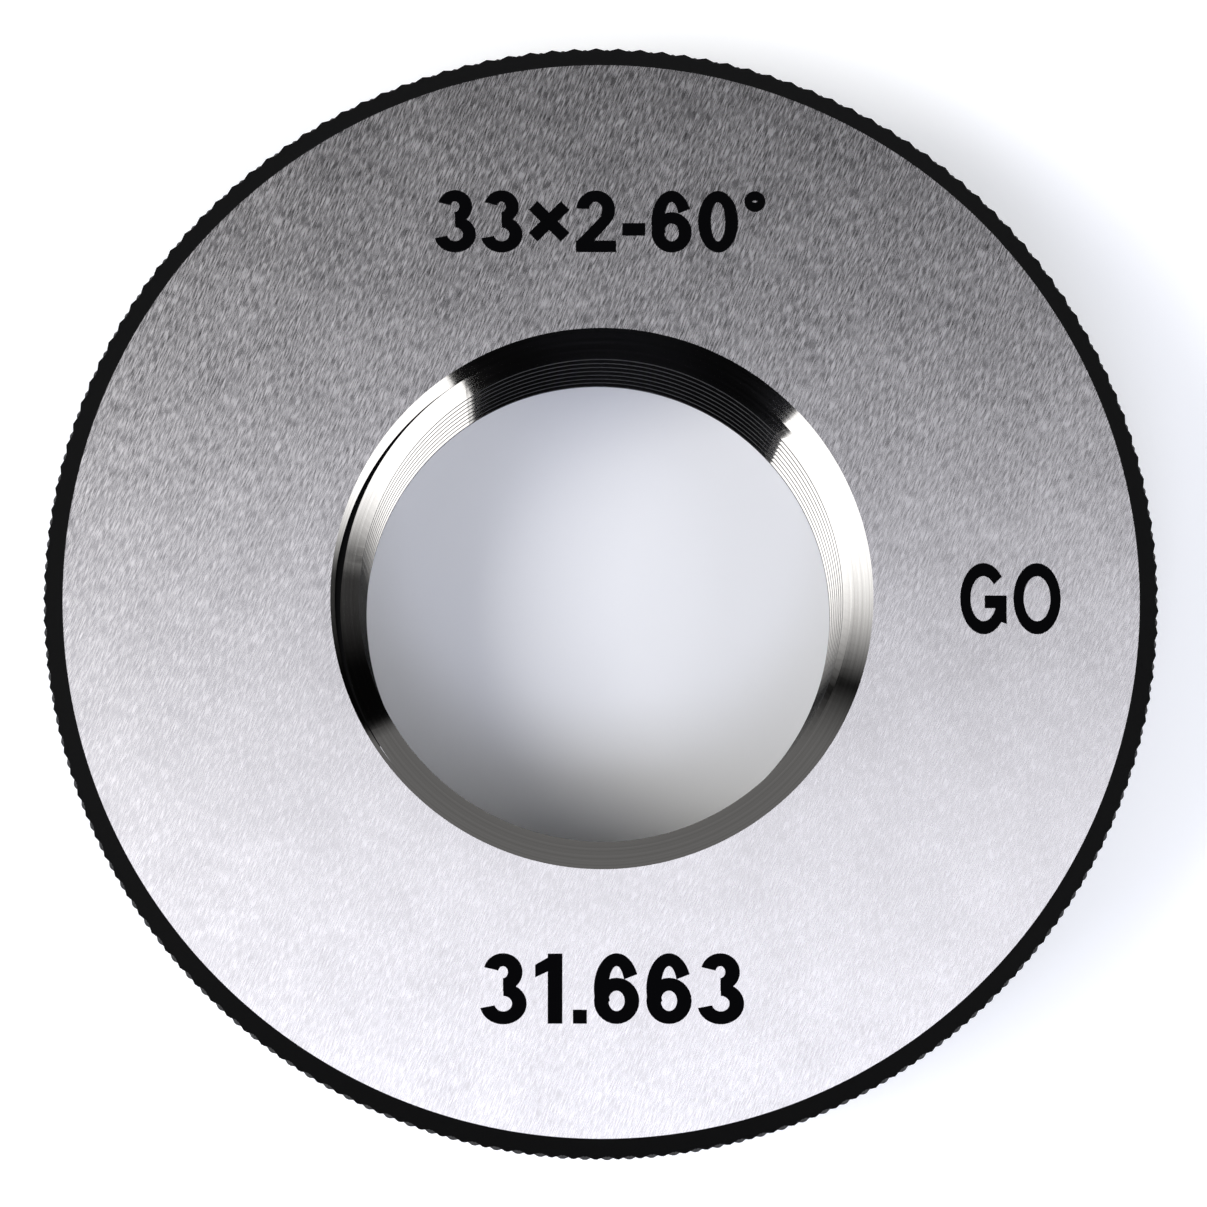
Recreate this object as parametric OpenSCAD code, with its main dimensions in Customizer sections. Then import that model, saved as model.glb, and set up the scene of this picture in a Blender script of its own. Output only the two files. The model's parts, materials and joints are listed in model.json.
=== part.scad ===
// GO thread ring gauge: one solid ring of hardened steel that checks an outside screw thread.
// It lies on its back face with the bore upright, and the marked front face is on top.
// Z runs along the bore and the origin is the middle of the back face.
// The bore's wall is the thread's crests, and the thread is one helical groove cut into that wall.

/* [Ring] */
// Diameter over the tips of the knurl
outer_d = 71; // [62:0.5:78]
// Thickness from face to face
thickness = 18; // [10:0.5:21]
// Width and height of the 45 degree chamfer from each face to the rim
edge_chamfer = 1.4; // [0.6:0.1:2.4]

/* [Gauging thread] */
// Nominal diameter of the screw thread that the ring checks
thread_d = 33; // [24:0.5:42]
// Pitch of that thread
thread_pitch = 2; // [0.75:0.25:3]
// How far its fit class keeps the thread under the nominal diameter
thread_allowance = 0.038; // [0:0.002:0.1]
// How far the conical lead-in at each end of the bore widens it, on the radius
mouth_chamfer = 1.8; // [0.8:0.1:3]
// Angle between that cone and the ring's axis
mouth_angle = 60; // [45:1:64]
// Where the middle of the groove would pass the front face, counted round from +X
thread_start = 224; // [0:1:359]

/* [Knurl] */
// Spacing of the diamonds round the rim
knurl_pitch = 1.42; // [1.3:0.01:2.4]
// Depth of the crossed grooves
knurl_depth = 0.26; // [0.1:0.02:0.4]
// Angle between the grooves and the ring's axis
knurl_angle = 30; // [20:1:34]

/* [Hidden] */
$fn = 180;

// An inside ISO thread's crests stand 5/8 of the sharp 60 degree triangle in from its nominal size.
outer_r = outer_d / 2;
crest_height = 5 / 8 * thread_pitch * cos(30);
bore_r = (thread_d - thread_allowance) / 2 - crest_height;
mouth_r = bore_r + mouth_chamfer;
mouth_depth = mouth_chamfer / tan(mouth_angle);
face_r = outer_r - edge_chamfer;

// How far the knurled bar and the section run past the ring, so that their surfaces never coincide
over = 1;

// The diamonds' tips and the groove crossings share one grid of points, half a diamond apart each way.
// Its first and last rows are smooth circles beyond the ring's two faces.
knurl_count = round(PI * outer_d / knurl_pitch);
columns = 2 * knurl_count;
row_height = knurl_pitch / tan(knurl_angle) / 2;
knurled_rows = ceil((thickness - 2 * (edge_chamfer - knurl_depth)) / row_height);
knurl_start_z = (thickness - knurled_rows * row_height) / 2;
last_row = knurled_rows + 2;

function is_smooth(row) = row == 0 || row == last_row;

function is_tip(column, row) = (column + row) % 2 == 0;

function row_r(column, row) =
    is_smooth(row) || is_tip(column, row) ? outer_r : outer_r - knurl_depth;

function row_z(row) =
    row == 0 ? -over
    : row == last_row ? thickness + over
    : knurl_start_z + (row - 1) * row_height;

function grid_point(column, row) =
    let (angle = 360 * column / columns, r = row_r(column, row))
    [r * cos(angle), r * sin(angle), row_z(row)];

function at(column, row) = row * columns + column % columns;

// A grid cell has two tips and two crossings at its corners. Its two triangles meet along the groove,
// which joins the crossings.
function cell_faces(column, row) =
    let (
        low = at(column, row),
        low_next = at(column + 1, row),
        high = at(column, row + 1),
        high_next = at(column + 1, row + 1)
    )
    is_tip(column, row)
        ? [[low, high, low_next], [low_next, high, high_next]]
        : [[low, high, high_next], [low, high_next, low_next]];

// A round bar, longer than the ring is thick, with crossed helical grooves along its middle
module knurled_bar() {
    points = [
        for (row = [0:last_row], column = [0:columns - 1])
            grid_point(column, row)
    ];
    faces = [
        for (row = [0:last_row - 1], column = [0:columns - 1])
            each cell_faces(column, row),
        [for (column = [0:columns - 1]) at(column, 0)],
        [for (column = [0:columns - 1]) at(columns - 1 - column, last_row)]
    ];
    polyhedron(points, faces, convexity = 4);
}

// The groove opens 3/8 of a pitch to each side at the crests, and its two flanks meet at the root.
flank_angle = 30;
groove_half = 3 / 8 * thread_pitch;
groove_depth = groove_half / tan(flank_angle);

// The groove starts and ends in the open air of the lead-ins, so it runs out smoothly through them.
groove_air = 0.3;
groove_end_z = -0.07 + min(
    mouth_depth - groove_half,
    mouth_depth * (1 - groove_depth / mouth_chamfer)
);
groove_steps_a_turn = 36;
groove_steps = ceil((thickness - 2 * groove_end_z) / thread_pitch * groove_steps_a_turn);

function groove_point(step, r, rise) =
    let (
        sunk = groove_end_z + thread_pitch * step / groove_steps_a_turn,
        angle = thread_start - 360 * sunk / thread_pitch
    )
    [r * cos(angle), r * sin(angle), thickness - sunk + rise];

// What the thread removes: a three-sided bar wound right-handed through the bore, from the front down
module thread_groove() {
    inner_r = bore_r - groove_air;
    inner_half = groove_half + groove_air * tan(flank_angle);
    points = [
        for (step = [0:groove_steps])
            each [
                groove_point(step, inner_r, inner_half),
                groove_point(step, bore_r + groove_depth, 0),
                groove_point(step, inner_r, -inner_half)
            ]
    ];
    faces = [
        [2, 1, 0],
        for (step = [0:groove_steps - 1], side = [0:2])
            let (here = 3 * step, next_side = (side + 1) % 3)
            each [
                [here + side, here + next_side, here + 3 + side],
                [here + next_side, here + 3 + next_side, here + 3 + side]
            ],
        [3 * groove_steps, 3 * groove_steps + 1, 3 * groove_steps + 2]
    ];
    polyhedron(points, faces, convexity = 12);
}

// Half of the ring's section: ground faces, bore with its two lead-ins, and the two edge chamfers,
// which run on past the rim
module ring_section() {
    polygon([
        [mouth_r, 0],
        [face_r, 0],
        [outer_r + over, edge_chamfer + over],
        [outer_r + over, thickness - edge_chamfer - over],
        [face_r, thickness],
        [mouth_r, thickness],
        [bore_r, thickness - mouth_depth],
        [bore_r, mouth_depth]
    ]);
}

// The turned and bored blank with the thread cut in its bore and the knurl rolled into its rim
module gauge_ring() {
    color("silver")
    intersection() {
        difference() {
            rotate_extrude() ring_section();
            thread_groove();
        }
        knurled_bar();
    }
}

gauge_ring();
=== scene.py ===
import json
import math

import bmesh
import bpy
from mathutils import Matrix, Vector


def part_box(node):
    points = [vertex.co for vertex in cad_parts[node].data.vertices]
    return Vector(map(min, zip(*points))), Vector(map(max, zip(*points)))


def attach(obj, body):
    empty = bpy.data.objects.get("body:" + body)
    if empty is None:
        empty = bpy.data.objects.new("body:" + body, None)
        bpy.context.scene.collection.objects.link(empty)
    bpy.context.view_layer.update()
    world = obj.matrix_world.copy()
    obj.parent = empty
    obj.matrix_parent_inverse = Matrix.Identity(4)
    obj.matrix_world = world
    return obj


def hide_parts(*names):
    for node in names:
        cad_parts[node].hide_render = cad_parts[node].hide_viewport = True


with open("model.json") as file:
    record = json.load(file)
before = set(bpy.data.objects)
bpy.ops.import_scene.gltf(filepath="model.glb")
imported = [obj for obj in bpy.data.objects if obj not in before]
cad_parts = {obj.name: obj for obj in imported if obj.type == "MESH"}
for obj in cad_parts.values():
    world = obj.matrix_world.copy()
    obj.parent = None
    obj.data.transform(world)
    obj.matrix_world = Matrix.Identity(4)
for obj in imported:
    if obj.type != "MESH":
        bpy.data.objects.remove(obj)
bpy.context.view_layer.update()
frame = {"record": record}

# The turned blank.
# A ring of hardened steel, turned and bored from one bar, with a 45 degree chamfer at the rim and a
# 120 degree cone at each mouth of the bore. Its two faces are ground flat on a surface grinder.
MM = 0.001
low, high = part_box("gauge_ring")
thread_hole = frame["record"]["mounts"][0]
outer_r = (high[0] - low[0]) / 2
thickness = high[2] - low[2]
bore_r = thread_hole["dims"]["r_mm"] * MM
mouth_depth = (thickness - thread_hole["dims"]["length_mm"] * MM) / 2
cone_slope = math.tan(math.radians(60))
mouth_r = bore_r + mouth_depth * cone_slope
edge_chamfer = 1.4 * MM
face_r = outer_r - edge_chamfer
TURNED_SEGMENTS = 360


def place_in_scene(name, mesh):
    """A new object from a finished bmesh, with its place in its mesh."""
    data = bpy.data.meshes.new(name)
    mesh.to_mesh(data)
    mesh.free()
    thing = bpy.data.objects.new(name, data)
    bpy.context.scene.collection.objects.link(thing)
    return thing


def turned(name, section, segments):
    """A closed ring: a section of (radius, height) corners, turned about Z."""
    mesh = bmesh.new()
    loops = []
    for step in range(segments):
        angle = 2 * math.pi * step / segments
        loops.append([mesh.verts.new((r * math.cos(angle), r * math.sin(angle), z)) for r, z in section])
    for step in range(segments):
        here = loops[step]
        there = loops[(step + 1) % segments]
        for corner in range(len(section)):
            after = (corner + 1) % len(section)
            mesh.faces.new((here[corner], there[corner], there[after], here[after]))
    bmesh.ops.recalc_face_normals(mesh, faces=mesh.faces)
    return place_in_scene(name, mesh)


ring = turned("ring", [
    (bore_r, mouth_depth),
    (mouth_r, 0),
    (face_r, 0),
    (outer_r, edge_chamfer),
    (outer_r, thickness - edge_chamfer),
    (face_r, thickness),
    (mouth_r, thickness),
    (bore_r, thickness - mouth_depth),
], TURNED_SEGMENTS)


class Wire:
    """A socket of a node tree that carries a number. Arithmetic on it adds Math nodes to the tree."""

    def __init__(self, tree, socket):
        self.tree = tree
        self.socket = socket

    def maths(self, operation, *others):
        numbers = dict(enumerate((self,) + others))
        node = add_node(self.tree, "ShaderNodeMath", {"operation": operation}, numbers)
        return Wire(self.tree, node.outputs[0])

    def __add__(self, other):
        return self.maths("ADD", other)

    __radd__ = __add__

    def __mul__(self, other):
        return self.maths("MULTIPLY", other)

    __rmul__ = __mul__

    def __sub__(self, other):
        return self.maths("SUBTRACT", other)

    def __rsub__(self, other):
        return self.maths("MULTIPLY_ADD", -1.0, other)

    def __truediv__(self, other):
        return self.maths("DIVIDE", other)

    def __pow__(self, other):
        return self.maths("POWER", other)

    def __mod__(self, other):
        return self.maths("MODULO", other)

    def __gt__(self, other):
        return self.maths("GREATER_THAN", other)

    def __lt__(self, other):
        return self.maths("LESS_THAN", other)


def add_node(tree, kind, settings=None, inputs=None):
    """A new node of any kind: its settings first, then a value or a link for each named socket."""
    node = tree.nodes.new(kind)
    for name, value in (settings or {}).items():
        setattr(node, name, value)
    for name, value in (inputs or {}).items():
        value = value.socket if isinstance(value, Wire) else value
        if isinstance(value, bpy.types.NodeSocket):
            tree.links.new(value, node.inputs[name])
        else:
            node.inputs[name].default_value = value
    return node


def start_material(name):
    """A new material, with a shader that serves both metal and paint, and nothing set on it yet."""
    material = bpy.data.materials.new(name)
    material.use_nodes = True
    tree = material.node_tree
    tree.nodes.clear()
    shader = add_node(tree, "ShaderNodeBsdfPrincipled")
    add_node(tree, "ShaderNodeOutputMaterial", None, {"Surface": shader.outputs[0]})
    return material, tree, shader


# Fine short scratches lie one way across the ground faces, under faint clouds.
scratch_lay = math.radians(-22)
scratch_length = 9.0
scratches_per_metre = 11500.0
clouds_per_metre = 300.0
ground_steel, tree, shader = start_material("ground_steel")
place = add_node(tree, "ShaderNodeTexCoord").outputs["Object"]
lay = add_node(tree, "ShaderNodeMapping", {"vector_type": "TEXTURE"}, {
    "Vector": place,
    "Rotation": (0.0, 0.0, scratch_lay),
    "Scale": (1.0, scratch_length, 1.0),
})
scratches = add_node(tree, "ShaderNodeTexNoise", None, {
    "Vector": lay.outputs[0], "Scale": scratches_per_metre, "Detail": 1.0, "Roughness": 0.7})
clouds = add_node(tree, "ShaderNodeTexNoise", None, {
    "Vector": place, "Scale": clouds_per_metre, "Detail": 2.0, "Roughness": 0.5})
scratch = Wire(tree, scratches.outputs[0]) - 0.5
cloud = Wire(tree, clouds.outputs[0]) - 0.5
tone = add_node(tree, "ShaderNodeMix", {"data_type": "RGBA"}, {
    "Factor": 0.5 + scratch + cloud * 0.3,
    "A": (0.43, 0.415, 0.41, 1.0),
    "B": (0.77, 0.745, 0.74, 1.0),
})
tree.links.new(tone.outputs["Result"], shader.inputs["Base Color"])
tree.links.new((0.26 + scratch * 0.34 + cloud * 0.04).socket, shader.inputs["Roughness"])
shader.inputs["Metallic"].default_value = 1.0
ring.data.materials.append(ground_steel)

# The etched marks.
# The size of the thread stands at the top of the front face, the word GO at its right and the pitch
# diameter at its foot. A laser burns them a few hundredths of a millimetre deep, so they stay black.
etch_depth = 0.04 * MM
ARC_STEPS = 28


class Stencil:
    """Closed prisms that stand across the front face, one for each stroke of the marks."""

    def __init__(self):
        self.mesh = bmesh.new()

    def write(self, line, cap_height, foot, weight, gap):
        """One line of marks. Its strokes are set out with the height of a capital as 1."""
        self.cap_height = cap_height
        self.foot = foot
        self.weight = weight
        self.pen = 0.0
        for letter in line:
            self.pen += GLYPHS[letter](self) + gap

    def prism(self, pairs, closed):
        """A stroke that runs through pairs of points, one on each side of it."""
        heights = (thickness - etch_depth, thickness + etch_depth)
        rows = []
        for pair in pairs:
            rows.append([
                self.mesh.verts.new((
                    self.foot[0] + (self.pen + x) * self.cap_height,
                    self.foot[1] + y * self.cap_height,
                    z,
                ))
                for z in heights for x, y in pair
            ])
        following = rows[1:] + rows[:1] if closed else rows[1:]
        for here, there in zip(rows, following):
            for a, b in ((0, 1), (1, 3), (3, 2), (2, 0)):
                self.mesh.faces.new((here[a], here[b], there[b], there[a]))
        if not closed:
            for end in (rows[0], rows[-1]):
                self.mesh.faces.new((end[0], end[1], end[3], end[2]))

    def arc(self, centre, reach, start=0, sweep=360):
        """A stroke along part of an ellipse, whose outer edge is at the reach from the centre."""
        closed = abs(sweep) == 360
        pairs = []
        for step in range(ARC_STEPS if closed else ARC_STEPS + 1):
            turn = math.radians(start + sweep * step / ARC_STEPS)
            pairs.append([
                (centre[0] + (reach[0] - inset * self.weight[0]) * math.cos(turn),
                 centre[1] + (reach[1] - inset * self.weight[1]) * math.sin(turn))
                for inset in (0, 1)
            ])
        self.prism(pairs, closed)

    def bar(self, a, b, c, d):
        """A stroke with four corners, in order round it."""
        self.prism([(a, d), (b, c)], False)


# Each of these draws one mark, and returns the width that it takes.
def draw_0(stencil):
    stencil.arc((0.325, 0.5), (0.325, 0.505))
    return 0.65


def draw_1(stencil):
    stencil.bar((0.2, 0), (0.41, 0), (0.41, 1), (0.2, 1))
    stencil.bar((0.02, 0.66), (0.3, 0.79), (0.3, 1), (0.02, 0.84))
    return 0.46


def draw_2(stencil):
    stencil.arc((0.32, 0.69), (0.315, 0.315), 176, -219)
    stencil.bar((0.0, 0.16), (0.27, 0.16), (0.56, 0.48), (0.42, 0.6))
    stencil.bar((0.0, 0.0), (0.65, 0.0), (0.65, 0.19), (0.0, 0.19))
    return 0.65


def draw_3(stencil):
    stencil.arc((0.31, 0.735), (0.28, 0.27), 165, -255)
    stencil.arc((0.315, 0.285), (0.335, 0.295), 90, -258)
    return 0.65


def draw_6(stencil):
    stencil.arc((0.325, 0.325), (0.325, 0.33))
    stencil.arc((0.325, 0.5), (0.325, 0.505), 24, 190)
    return 0.65


def draw_times(stencil):
    reach = 0.33
    half = 0.1 * math.sqrt(2)
    centre = 0.5
    for lean in (1, -1):
        stencil.bar(
            (reach - lean * (reach - half), centre - reach),
            (reach + lean * reach, centre + reach - half),
            (reach + lean * (reach - half), centre + reach),
            (reach - lean * reach, centre - reach + half),
        )
    return 0.66


def draw_dash(stencil):
    stencil.bar((0, 0.27), (0.37, 0.27), (0.37, 0.475), (0, 0.475))
    return 0.37


def draw_degree(stencil):
    stencil.arc((0.17, 0.83), (0.17, 0.17))
    return 0.34


def draw_point(stencil):
    stencil.bar((0, 0), (0.2, 0), (0.2, 0.2), (0, 0.2))
    return 0.2


def draw_g(stencil):
    stencil.arc((0.33, 0.5), (0.33, 0.505), 38, 300)
    stencil.bar((0.345, 0.365), (0.655, 0.365), (0.655, 0.545), (0.345, 0.545))
    stencil.bar((0.505, 0.2), (0.655, 0.14), (0.655, 0.5), (0.505, 0.5))
    return 0.66


def draw_o(stencil):
    stencil.arc((0.335, 0.5), (0.335, 0.505))
    return 0.67


# The apostrophe stands for the degree sign.
GLYPHS = {
    "0": draw_0, "1": draw_1, "2": draw_2, "3": draw_3, "6": draw_6, "x": draw_times,
    "-": draw_dash, "'": draw_degree, ".": draw_point, "G": draw_g, "O": draw_o,
}

stencil = Stencil()
stencil.write("33x2-60'", 3.95 * MM, (-10.6 * MM, 22.05 * MM), (0.21, 0.185), 0.1)
stencil.write("GO", 4.5 * MM, (22.7 * MM, -2.3 * MM), (0.146, 0.186), 0.09)
stencil.write("31.663", 4.4 * MM, (-7.6 * MM, -26.9 * MM), (0.21, 0.185), 0.1)
bmesh.ops.recalc_face_normals(stencil.mesh, faces=stencil.mesh.faces)
marks_cutter = place_in_scene("marks_cutter", stencil.mesh)


def new_geometry_tree(name, inputs):
    """A Geometry Nodes tree that takes a mesh, a finish and other named inputs, and gives a mesh."""
    tree = bpy.data.node_groups.new(name, "GeometryNodeTree")
    tree.is_modifier = True
    tree.interface.new_socket("Mesh", in_out="OUTPUT", socket_type="NodeSocketGeometry")
    tree.interface.new_socket("Mesh", in_out="INPUT", socket_type="NodeSocketGeometry")
    tree.interface.new_socket("Finish", in_out="INPUT", socket_type="NodeSocketMaterial")
    for label, kind in inputs.items():
        tree.interface.new_socket(label, in_out="INPUT", socket_type="NodeSocket" + kind)
    given = tree.nodes.new("NodeGroupInput").outputs
    return tree, {socket.name: Wire(tree, socket) for socket in given if socket.name}


def end_tree(tree, given, mesh, where):
    """The last nodes of a tree: real geometry, with the finish on the faces that where picks."""
    real = add_node(tree, "GeometryNodeRealizeInstances", None, {0: mesh})
    finished = add_node(tree, "GeometryNodeSetMaterial", None, {
        "Geometry": real.outputs[0],
        "Selection": where,
        "Material": given["Finish"],
    })
    add_node(tree, "NodeGroupOutput", None, {0: finished.outputs[0]})


def work(thing, tree, values):
    """Puts a tree on an object, with the tree's inputs set by their identifiers."""
    modifier = thing.modifiers.new(tree.name, "NODES")
    modifier.node_group = tree
    for item in tree.interface.items_tree:
        if item.in_out == "INPUT" and item.name in values:
            modifier[item.identifier] = values[item.name]


def where_am_i(tree):
    """The height, and the distance from the axis, of each point or face that is worked on."""
    place = add_node(tree, "GeometryNodeInputPosition")
    parts = add_node(tree, "ShaderNodeSeparateXYZ", None, {0: place.outputs[0]})
    x, y, z = (Wire(tree, part) for part in parts.outputs)
    return z, (x * x + y * y) ** 0.5


etched_black, tree, shader = start_material("etched_black")
shader.inputs["Base Color"].default_value = (0.0015, 0.0015, 0.0018, 1.0)
shader.inputs["Roughness"].default_value = 0.9
shader.inputs["Specular IOR Level"].default_value = 0.01

# The finish stays off a narrow band beside the two edges of the face, where no mark stands.
unmarked_band = 0.5 * MM
tree, given = new_geometry_tree("etched marks", {
    "Cutter": "Object",
    "Face Height": "Float",
    "Depth": "Float",
    "Inner Radius": "Float",
    "Outer Radius": "Float",
})
cutter = add_node(tree, "GeometryNodeObjectInfo", None, {"Object": given["Cutter"]})
cut = add_node(tree, "GeometryNodeMeshBoolean", {"operation": "DIFFERENCE", "solver": "EXACT"}, {
    "Mesh 1": given["Mesh"],
    "Mesh 2": cutter.outputs["Geometry"],
    "Self Intersection": True,
})
z, r = where_am_i(tree)
# The walls and the floor of a mark lie below the face, and little deeper than the marks go.
sunk = given["Face Height"] - z
in_mark = (sunk > given["Depth"] * 0.1) * (sunk < given["Depth"] * 1.5)
in_mark = in_mark * (r > given["Inner Radius"]) * (r < given["Outer Radius"])
end_tree(tree, given, cut.outputs["Mesh"], in_mark)
work(ring, tree, {
    "Finish": etched_black,
    "Cutter": marks_cutter,
    "Face Height": thickness,
    "Depth": etch_depth,
    "Inner Radius": mouth_r + unmarked_band,
    "Outer Radius": face_r - unmarked_band,
})

# The knurl.
# Two sets of helical grooves, rolled across each other round the rim so that it grips in the fingers.
# They leave rows of low diamonds, each with a narrow land of the turned rim on its tip. The rim and
# its chamfers have a thin oiled oxide coat, which leaves them almost pure black. The same black is
# painted on the crests of the bore, as a painted dark reflection where bright steel stands.
knurl_pitch = 1.42 * MM
knurl_depth = 0.26 * MM
land_height = 0.05 * MM
knurl_angle = math.radians(30)
diamonds_round = round(2 * math.pi * outer_r / knurl_pitch)
row_height = knurl_pitch / math.tan(knurl_angle) / 2
knurled_rows = math.ceil((thickness - 2 * (edge_chamfer - knurl_depth)) / row_height)
# A face is told by the place of its middle, with this much to spare beside an edge.
edge_margin = 0.02 * MM

# The oxide black of the rim. The crests of the bore take it too, as a painted dark reflection,
# and the slots behind the roots take it as painted shade.
black_oxide_and_painted_shade, tree, shader = start_material("black_oxide_and_painted_shade")
shader.inputs["Base Color"].default_value = (0.0012, 0.0012, 0.0012, 1.0)
shader.inputs["Roughness"].default_value = 0.5
shader.inputs["Specular IOR Level"].default_value = 0.03

tree, given = new_geometry_tree("knurled rim", {
    "Diamonds Round": "Int",
    "Rows": "Int",
    "Row Height": "Float",
    "Tip Radius": "Float",
    "Groove Radius": "Float",
    "Middle Height": "Float",
    "Face Radius": "Float",
    "Crest Radius": "Float",
})
columns = given["Diamonds Round"] * 2
last_row = given["Rows"] + 2
tip_r = given["Tip Radius"]
bar = add_node(tree, "GeometryNodeMeshCylinder", {"fill_type": "NGON"}, {
    "Vertices": columns,
    "Side Segments": last_row,
    "Radius": tip_r,
    "Depth": last_row * given["Row Height"],
})
index = Wire(tree, add_node(tree, "GeometryNodeInputIndex").outputs[0])
column = index % columns
row = (index / columns).maths("FLOOR")
crossing = ((column + row) % 2) * (row > 0.5) * (row < last_row - 0.5)
shrink = 1 - crossing * (tip_r - given["Groove Radius"]) / tip_r
place = add_node(tree, "GeometryNodeInputPosition")
factors = add_node(tree, "ShaderNodeCombineXYZ", None, {0: shrink, 1: shrink, 2: 1.0})
moved = add_node(tree, "ShaderNodeVectorMath", {"operation": "MULTIPLY"}, {
    0: place.outputs[0],
    1: factors.outputs[0],
})
lift = add_node(tree, "ShaderNodeCombineXYZ", None, {2: given["Middle Height"]})
knurled = add_node(tree, "GeometryNodeSetPosition", None, {
    "Geometry": bar.outputs["Mesh"],
    "Position": moved.outputs[0],
    "Offset": lift.outputs[0],
})
facets = add_node(tree, "GeometryNodeTriangulate", {"quad_method": "SHORTEST_DIAGONAL"}, {
    "Mesh": knurled.outputs[0],
})
cut = add_node(tree, "GeometryNodeMeshBoolean", {"operation": "INTERSECT", "solver": "EXACT"})
tree.links.new(given["Mesh"].socket, cut.inputs["Mesh 2"])
tree.links.new(facets.outputs[0], cut.inputs["Mesh 2"])
z, r = where_am_i(tree)
# The rim takes the black, and so do the crests of the bore, where it is a painted dark reflection.
end_tree(tree, given, cut.outputs["Mesh"], (r > given["Face Radius"]) + (r < given["Crest Radius"]))
work(ring, tree, {
    "Finish": black_oxide_and_painted_shade,
    "Diamonds Round": diamonds_round,
    "Rows": knurled_rows,
    "Row Height": row_height,
    "Tip Radius": outer_r + land_height,
    "Groove Radius": outer_r - knurl_depth,
    "Middle Height": thickness / 2,
    "Face Radius": face_r + edge_margin,
    "Crest Radius": bore_r + edge_margin,
})

# The gauging thread.
# A right-hand 60 degree thread, ground and lapped in the bore. Its crests are the bore that was
# turned first, and a narrow slot behind each root keeps the gauge clear of the part that it checks.
thread_pitch = 2.0 * MM
groove_half = 3 / 8 * thread_pitch
flank_slope = math.tan(math.radians(30))
slot_half = 0.125 * MM
slot_depth = 1.53 * MM
air = 0.3 * MM
thread_start = math.radians(224)
SWEEP_STEPS = 180
# Past the first of these a face has left the crests, and past the second it lies in the groove.
crest_margin = 0.0154 * MM
groove_margin = 0.012 * MM

root_depth = (groove_half - slot_half) / flank_slope
lower_side = [
    (-air, -groove_half - air * flank_slope),
    (root_depth, -slot_half),
    (slot_depth, -slot_half),
]
groove_outline = lower_side + [(depth, -rise) for depth, rise in reversed(lower_side)]
outline = bpy.data.curves.new("thread_form", "CURVE")
spline = outline.splines.new("POLY")
spline.points.add(len(groove_outline) - 1)
for point, (depth, rise) in zip(spline.points, groove_outline):
    point.co = (depth, rise, 0.0, 1.0)
spline.use_cyclic_u = True
thread_form = bpy.data.objects.new("thread_form", outline)
bpy.context.scene.collection.objects.link(thread_form)

# The cones and the flanks are bright, with the tool's fine rings. The highlights spread across them.
rings_per_metre = 6500.0
bore_steel, tree, shader = start_material("lapped_bore_steel")
place = add_node(tree, "ShaderNodeTexCoord").outputs["Object"]
across = add_node(tree, "ShaderNodeVectorMath", {"operation": "MULTIPLY"}, {
    0: place, 1: (1.0, 1.0, 0.0)})
reach = add_node(tree, "ShaderNodeVectorMath", {"operation": "LENGTH"}, {0: across.outputs[0]})
rings = add_node(tree, "ShaderNodeTexNoise", {"noise_dimensions": "1D"}, {
    "W": reach.outputs["Value"], "Scale": rings_per_metre, "Detail": 2.0, "Roughness": 0.6})
ring_mark = Wire(tree, rings.outputs[0]) - 0.5
tone = add_node(tree, "ShaderNodeMix", {"data_type": "RGBA"}, {
    "Factor": 0.5 + ring_mark * 1.6,
    "A": (0.33, 0.32, 0.31, 1.0),
    "B": (0.51, 0.5, 0.49, 1.0),
})
tree.links.new(tone.outputs["Result"], shader.inputs["Base Color"])
tree.links.new((0.09 + ring_mark * 0.08).socket, shader.inputs["Roughness"])
shader.inputs["Metallic"].default_value = 1.0
shader.inputs["Anisotropic"].default_value = 0.75
shader.inputs["Anisotropic Rotation"].default_value = 0.25

tree, given = new_geometry_tree("gauging thread", {
    "Form": "Object",
    "Pitch": "Float",
    "Turns": "Float",
    "Start Angle": "Float",
    "Start Height": "Float",
    "Steps": "Int",
    "Crest Radius": "Float",
    "Mouth Radius": "Float",
    "Slot Radius": "Float",
    "Slot Painted Shade": "Material",
    "Middle Height": "Float",
    "Bored Half Height": "Float",
    "Mouth Slope": "Float",
    "Crest Margin": "Float",
    "Groove Margin": "Float",
})
helix = add_node(tree, "GeometryNodeCurveSpiral", None, {
    "Resolution": given["Steps"],
    "Rotations": given["Turns"],
    "Start Radius": given["Crest Radius"],
    "End Radius": given["Crest Radius"],
    "Height": given["Turns"] * given["Pitch"],
    "Reverse": True,
})
upright = add_node(tree, "GeometryNodeSetCurveNormal", {"mode": "Z_UP"}, {"Curve": helix.outputs[0]})
form = add_node(tree, "GeometryNodeObjectInfo", None, {"Object": given["Form"]})
swept = add_node(tree, "GeometryNodeCurveToMesh", None, {
    "Curve": upright.outputs[0],
    "Profile Curve": form.outputs["Geometry"],
    "Fill Caps": True,
})
lift = add_node(tree, "ShaderNodeCombineXYZ", None, {2: given["Start Height"]})
spin = add_node(tree, "ShaderNodeCombineXYZ", None, {2: given["Start Angle"]})
screw = add_node(tree, "GeometryNodeTransform", None, {
    "Geometry": swept.outputs[0],
    "Translation": lift.outputs[0],
    "Rotation": spin.outputs[0],
})
cut = add_node(tree, "GeometryNodeMeshBoolean", {"operation": "DIFFERENCE", "solver": "MANIFOLD"}, {
    "Mesh 1": given["Mesh"],
    "Mesh 2": screw.outputs[0],
})
z, r = where_am_i(tree)
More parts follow.
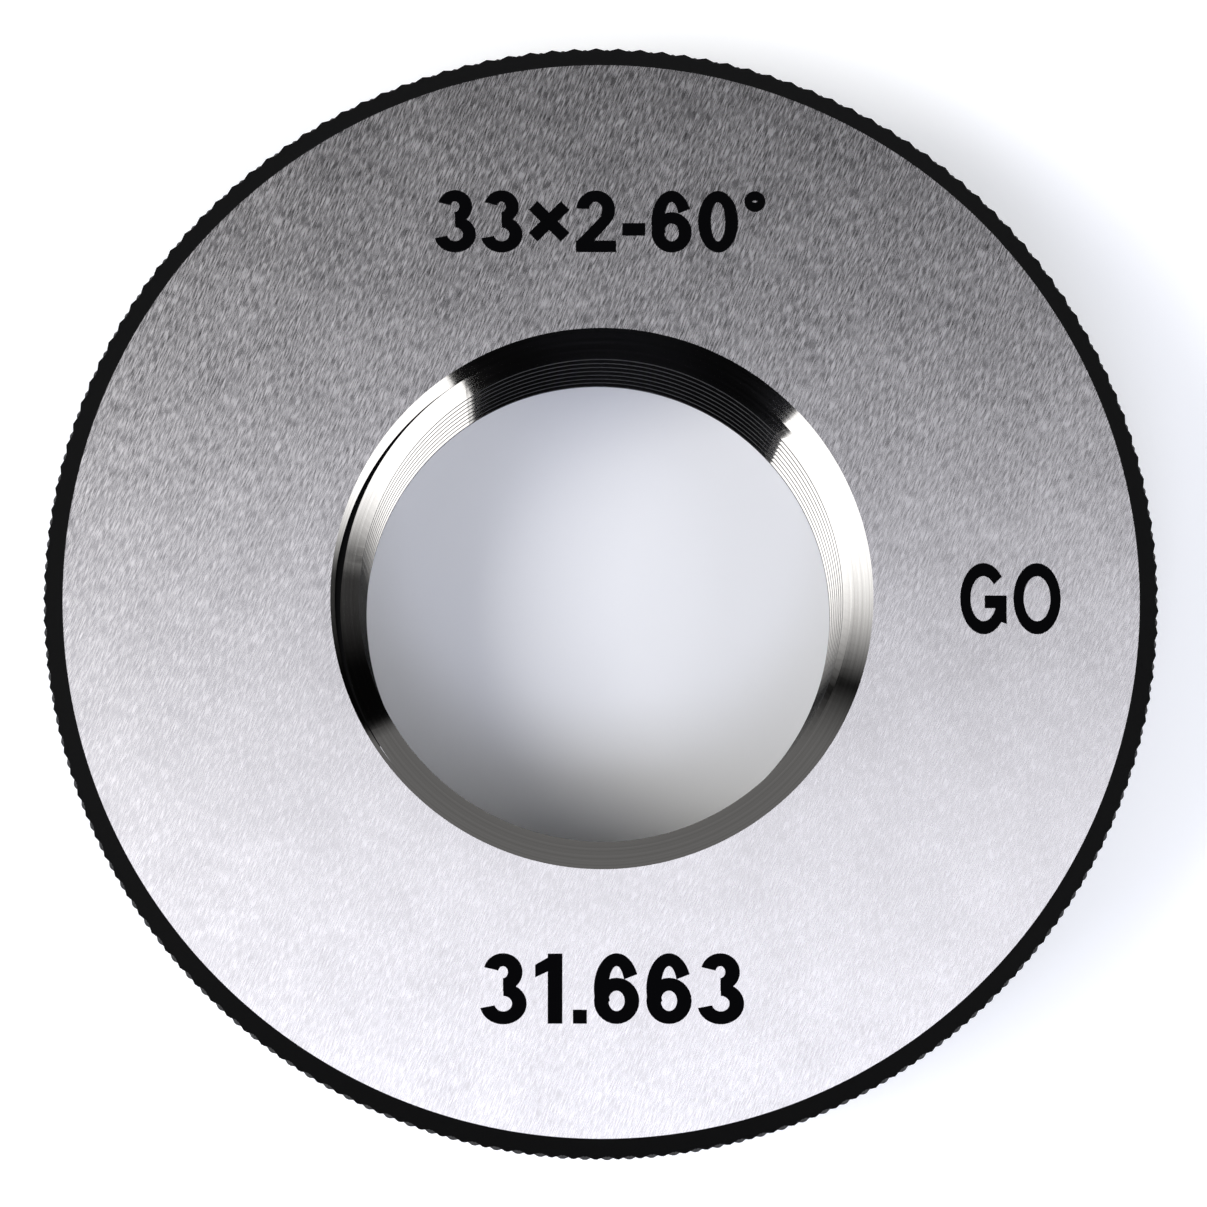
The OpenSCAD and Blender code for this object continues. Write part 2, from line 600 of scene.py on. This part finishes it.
# The bored surface stands back from the crests only in the two cones. What lies further out is groove.
past_bore = (z - given["Middle Height"]).maths("ABSOLUTE") - given["Bored Half Height"]
bored_r = given["Crest Radius"] + past_bore.maths("MAXIMUM", 0.0) * given["Mouth Slope"]
in_groove = (r - bored_r > given["Groove Margin"]) * (r < given["Mouth Radius"])
in_slot = in_groove * (r > given["Slot Radius"])
# The slots behind the roots are painted black: painted shade in the deep narrow gaps.
slotted = add_node(tree, "GeometryNodeSetMaterial", None, {
    "Geometry": cut.outputs["Mesh"],
    "Selection": in_slot,
    "Material": given["Slot Painted Shade"],
})
past_crests = r > given["Crest Radius"] + given["Crest Margin"]
in_bore = past_crests * (r < given["Mouth Radius"]) * (1 - in_slot)
end_tree(tree, given, slotted.outputs[0], in_bore)
turns = math.ceil(thickness / thread_pitch) + 2
work(ring, tree, {
    "Finish": bore_steel,
    "Form": thread_form,
    "Pitch": thread_pitch,
    "Turns": float(turns),
    "Start Angle": thread_start,
    "Start Height": thickness - (turns - 1) * thread_pitch,
    "Steps": SWEEP_STEPS,
    "Crest Radius": bore_r,
    "Mouth Radius": mouth_r - edge_margin,
    "Slot Radius": bore_r + root_depth - groove_margin,
    "Slot Painted Shade": black_oxide_and_painted_shade,
    "Middle Height": thickness / 2,
    "Bored Half Height": thickness / 2 - mouth_depth,
    "Mouth Slope": cone_slope,
    "Crest Margin": crest_margin,
    "Groove Margin": groove_margin,
})

# The finished ring.
# One solid piece, so the cuts are made in its one mesh, and it takes the place of the plain solid.
SHARP_EDGE = math.radians(18)
evaluated = ring.evaluated_get(bpy.context.evaluated_depsgraph_get())
gauge = bpy.data.objects.new("thread_ring_gauge", bpy.data.meshes.new_from_object(evaluated))
bpy.context.scene.collection.objects.link(gauge)
for spare in (ring, marks_cutter, thread_form):
    bpy.data.objects.remove(spare)
gauge.data.shade_smooth()
gauge.data.set_sharp_from_angle(angle=SHARP_EDGE)
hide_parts("gauge_ring")
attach(gauge, "root")

# The studio.
# A pale floor that glows a little outside the ring, so that it stays white beside the shadow. The
# ring stands under a wide panel and between tall softboxes, and small panels high up light the
# floor that is seen through the bore.
floor_half = 1.5
glow_from = 20 * MM
glow_full = 40 * MM
mesh = bmesh.new()
mesh.faces.new([
    mesh.verts.new((x * floor_half, y * floor_half, 0.0))
    for x, y in ((-1, -1), (1, -1), (1, 1), (-1, 1))
])
floor = place_in_scene("floor", mesh)
floor_paint, tree, shader = start_material("pale_floor")
shader.inputs["Base Color"].default_value = (0.87, 0.875, 0.885, 1.0)
shader.inputs["Roughness"].default_value = 0.6
place = add_node(tree, "ShaderNodeTexCoord").outputs["Object"]
reach = add_node(tree, "ShaderNodeVectorMath", {"operation": "LENGTH"}, {0: place}).outputs["Value"]
glow = add_node(tree, "ShaderNodeMapRange", {"interpolation_type": "SMOOTHSTEP"}, {
    "Value": reach, "From Min": glow_from, "From Max": glow_full, "To Min": 0.0, "To Max": 1.0})
lit = add_node(tree, "ShaderNodeMix", {"data_type": "RGBA"}, {
    "Factor": glow.outputs[0], "A": (0.0, 0.0, 0.0, 1.0), "B": (0.97, 0.98, 1.0, 1.0)})
tree.links.new(lit.outputs["Result"], shader.inputs["Emission Color"])
shader.inputs["Emission Strength"].default_value = 0.3
floor.data.materials.append(floor_paint)

# The share of a panel's width over which a crisp edge comes up to the full light.
CRISP = 0.001


def panel(name, centre, aim, size, radiance, colour, fades=(CRISP, CRISP)):
    """A soft light panel, placed in millimetres, that faces a point.

    It comes up to its full radiance over a share of its width at each side.
    """
    light = bpy.data.lights.new(name, "AREA")
    light.shape = "RECTANGLE"
    light.size = size[0] * MM
    light.size_y = size[1] * MM
    light.energy = radiance * math.pi * light.size * light.size_y
    light.color = colour
    light.use_nodes = True
    tree = light.node_tree
    tree.nodes.clear()
    across = add_node(tree, "ShaderNodeNewGeometry").outputs["Parametric"]
    across = add_node(tree, "ShaderNodeSeparateXYZ", None, {0: across}).outputs[0]
    rise = add_node(tree, "ShaderNodeMapRange", {"interpolation_type": "SMOOTHSTEP"}, {
        "Value": across, "From Min": 0.0, "From Max": fades[0]})
    fall = add_node(tree, "ShaderNodeMapRange", {"interpolation_type": "SMOOTHSTEP"}, {
        "Value": across, "From Min": 1.0, "From Max": 1.0 - fades[1]})
    strength = Wire(tree, rise.outputs[0]) * fall.outputs[0]
    glow = add_node(tree, "ShaderNodeEmission", None, {"Strength": strength})
    add_node(tree, "ShaderNodeOutputLight", None, {0: glow.outputs[0]})
    lamp = bpy.data.objects.new(name, light)
    lamp.location = Vector(centre) * MM
    away = Vector(centre) - Vector(aim)
    lamp.rotation_euler = away.to_track_quat("Z", "Y").to_euler()
    bpy.context.scene.collection.objects.link(lamp)


NEUTRAL = (1.0, 1.0, 1.0)
WARM = (1.0, 0.985, 0.94)
COOL = (0.905, 0.92, 1.0)
COLD = (0.77, 0.81, 1.0)
softbox_distance = 450


def softbox(name, azimuths, heights, radiance, fades):
    """A panel that stands on edge beside the ring, from one azimuth and height to others."""
    turn = math.radians(sum(azimuths) / 2)
    width = 2 * softbox_distance * math.tan(math.radians(azimuths[1] - azimuths[0]) / 2)
    middle = sum(heights) / 2
    centre = (softbox_distance * math.cos(turn), softbox_distance * math.sin(turn), middle)
    size = (width, heights[1] - heights[0])
    panel(name, centre, (0, 0, middle), size, radiance, NEUTRAL, fades)


panel("overhead", (0, -75, 518), (0, -75, 0), (560, 230), 1.6, COOL)
panel("high_left", (-313, -10, 464), (0, 0, 0), (200, 220), 10.2, WARM)
panel("high_right", (313, -10, 464), (0, 0, 0), (200, 220), 2.4, NEUTRAL)
panel("high_near", (0, -225, 510), (0, 0, 0), (170, 150), 7.6, COLD)
panel("left_front", (-271, -156, 464), (0, 0, 0), (170, 150), 4.6, COLD)
panel("right_front", (271, -156, 464), (0, 0, 0), (170, 150), 2.7, COLD)
softbox("left_softbox", (154, 220.2), (120, 560), 3.0, (0.6, CRISP))
softbox("right_softbox", (309.2, 362), (120, 560), 3.0, (CRISP, 0.49))
softbox("right_softbox_tail", (346, 382), (120, 560), 0.06, (0.5, 0.5))
softbox("far_softbox", (33, 156), (150, 620), 0.27, (0.08, 0.25))

# The air itself gives hardly any light, but the camera sees it white where the floor ends.
world = bpy.data.worlds.new("studio_air")
bpy.context.scene.world = world
world.use_nodes = True
tree = world.node_tree
tree.nodes.clear()
seen = Wire(tree, add_node(tree, "ShaderNodeLightPath").outputs["Is Camera Ray"])
air_light = add_node(tree, "ShaderNodeBackground", None, {"Strength": 0.002 + seen})
add_node(tree, "ShaderNodeOutputWorld", None, {"Surface": air_light.outputs[0]})
bpy.context.scene.view_settings.view_transform = "Standard"

# The camera.
# It looks down the bore from a little below its axis, through a long lens, as the photograph does.
camera_place = Vector((-4.9, -26.3, 337.0)) * MM
camera_aim = Vector((0.09, -0.39, 18.0)) * MM
lens = bpy.data.cameras.new("camera")
lens.lens = 150.8
lens.sensor_width = 36.0
lens.clip_start = 0.01
lens.clip_end = 20.0
camera = bpy.data.objects.new("camera", lens)
camera.location = camera_place
backward = (camera_place - camera_aim).normalized()
rightward = Vector((0.0, 1.0, 0.0)).cross(backward).normalized()
upward = backward.cross(rightward)
camera.rotation_euler = Matrix((rightward, upward, backward)).transposed().to_euler()
bpy.context.scene.collection.objects.link(camera)
bpy.context.scene.camera = camera
